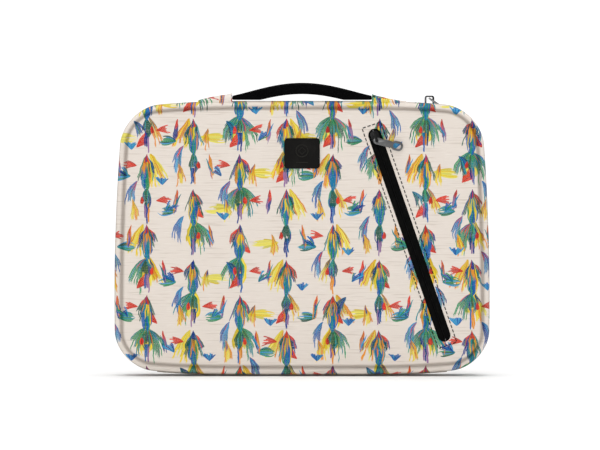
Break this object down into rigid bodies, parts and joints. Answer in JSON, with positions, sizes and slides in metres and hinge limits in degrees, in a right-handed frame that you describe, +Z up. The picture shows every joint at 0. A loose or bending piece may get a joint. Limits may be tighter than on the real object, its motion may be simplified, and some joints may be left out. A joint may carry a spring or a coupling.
{
  "type": "laptop sleeve",
  "caption": "Moulded hard-shell laptop sleeve in printed canvas: two zipped halves on a fabric hinge, arched carry handle, slanting zip pocket and rubber patch.",
  "frame": {"origin": "middle of the underside of the fabric hinge gusset, on which the closed sleeve stands", "axes": "+X to the right seen from the front, +Y from the front (zip pocket) face to the back face, +Z up towards the handle"},
  "size_m": [0.352, 0.0395, 0.2747],
  "materials": {
    "printed_canvas": "cream slub canvas with a multicolour crayon-stroke print",
    "eva_foam": "moulded closed-cell EVA foam board",
    "lining_fleece": "soft short-pile lining",
    "edge_binding": "cream woven tape",
    "zip_tape": "cream woven zip tape",
    "zip_teeth": "nylon coil",
    "coated_zip_tape": "black water-resistant coated tape, satin",
    "patch_rubber": "moulded black rubber, matte, raised rim",
    "handle_webbing": "black padded webbing",
    "spring_steel": "plain steel",
    "bright_nickel": "bright nickel plate",
    "gunmetal": "dark gunmetal plate"
  },
  "bodies": {
    "root": {"back_shell": "eva_foam", "back_cover": "printed_canvas", "back_lining": "lining_fleece", "back_binding": "edge_binding", "back_zip_tape": "zip_tape", "back_zip_teeth": "zip_teeth", "hinge_gusset": "edge_binding", "zip_stop_left": "spring_steel", "zip_stop_right": "spring_steel"},
    "front_half": {"front_shell": "eva_foam", "front_cover": "printed_canvas", "front_lining": "lining_fleece", "front_binding": "edge_binding", "front_zip_tape": "zip_tape", "front_zip_teeth": "zip_teeth", "left_shoulder": "printed_canvas", "right_shoulder": "printed_canvas", "logo_patch": "patch_rubber", "pocket_tape_left": "coated_zip_tape", "pocket_tape_right": "coated_zip_tape", "pocket_coil_left": "zip_teeth", "pocket_coil_right": "zip_teeth", "pocket_stop_top": "spring_steel", "pocket_stop_bottom": "spring_steel", "pocket_bag": "lining_fleece"},
    "handle": {"handle_grip": "handle_webbing", "handle_core": "spring_steel"},
    "zip_slider": {"main_slider": "bright_nickel"},
    "zip_pull": {"main_pull": "bright_nickel"},
    "pocket_zip_slider": {"pocket_slider": "gunmetal"},
    "pocket_zip_pull": {"pocket_pull": "gunmetal"}
  },
  "joints": [
    {"name": "lid_hinge", "type": "hinge", "parent": "root", "child": "front_half", "pos_m": [0, 0, 0.0004], "axis": [1, 0, 0], "range_deg": [0, 180], "deforming": ["hinge_gusset"]},
    {"name": "handle_tilt", "type": "hinge", "parent": "front_half", "child": "handle", "pos_m": [0, -0.011, 0.26045], "axis": [1, 0, 0], "range_deg": [-20, 20]},
    {"name": "zip_slide", "type": "slide", "parent": "root", "child": "zip_slider", "axis": [-1, 0, 0], "range_m": [0, 0.238]},
    {"name": "zip_pull_swing", "type": "hinge", "parent": "zip_slider", "child": "zip_pull", "pos_m": [0.12024, 0, 0.26072], "axis": [0, -1, 0], "range_deg": [0, 246]},
    {"name": "pocket_zip_slide", "type": "slide", "parent": "front_half", "child": "pocket_zip_slider", "axis": [0.3272, 0, -0.9449], "range_m": [0, 0.19]},
    {"name": "pocket_pull_swivel", "type": "hinge", "parent": "pocket_zip_slider", "child": "pocket_zip_pull", "pos_m": [0.06997, -0.0195, 0.21988], "axis": [0, -1, 0], "range_deg": [-190, 80]}
  ]
}
